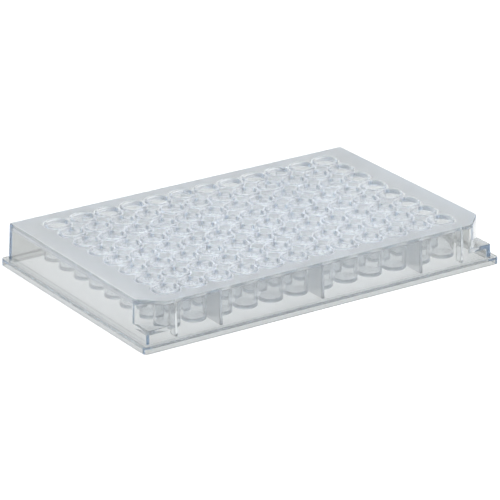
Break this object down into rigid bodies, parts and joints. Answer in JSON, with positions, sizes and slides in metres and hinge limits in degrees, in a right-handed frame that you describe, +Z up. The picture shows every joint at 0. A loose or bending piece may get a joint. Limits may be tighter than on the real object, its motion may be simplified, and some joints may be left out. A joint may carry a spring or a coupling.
{
  "type": "well plate",
  "caption": "Clear flat-bottomed microwell plate in the standard laboratory footprint, with a stepped flange, drafted skirt and two cut front corners.",
  "frame": {"origin": "centre of the foot's underside, on the surface the plate stands on", "axes": "+X along the rows of wells, from the first column to the last; +Y to the back, away from the two cut corners; +Z up out of the wells"},
  "size_m": [0.1278, 0.0854, 0.0143],
  "materials": {
    "clear_polystyrene": "polished"
  },
  "bodies": {
    "root": {"well_plate": "clear_polystyrene"}
  },
  "joints": []
}
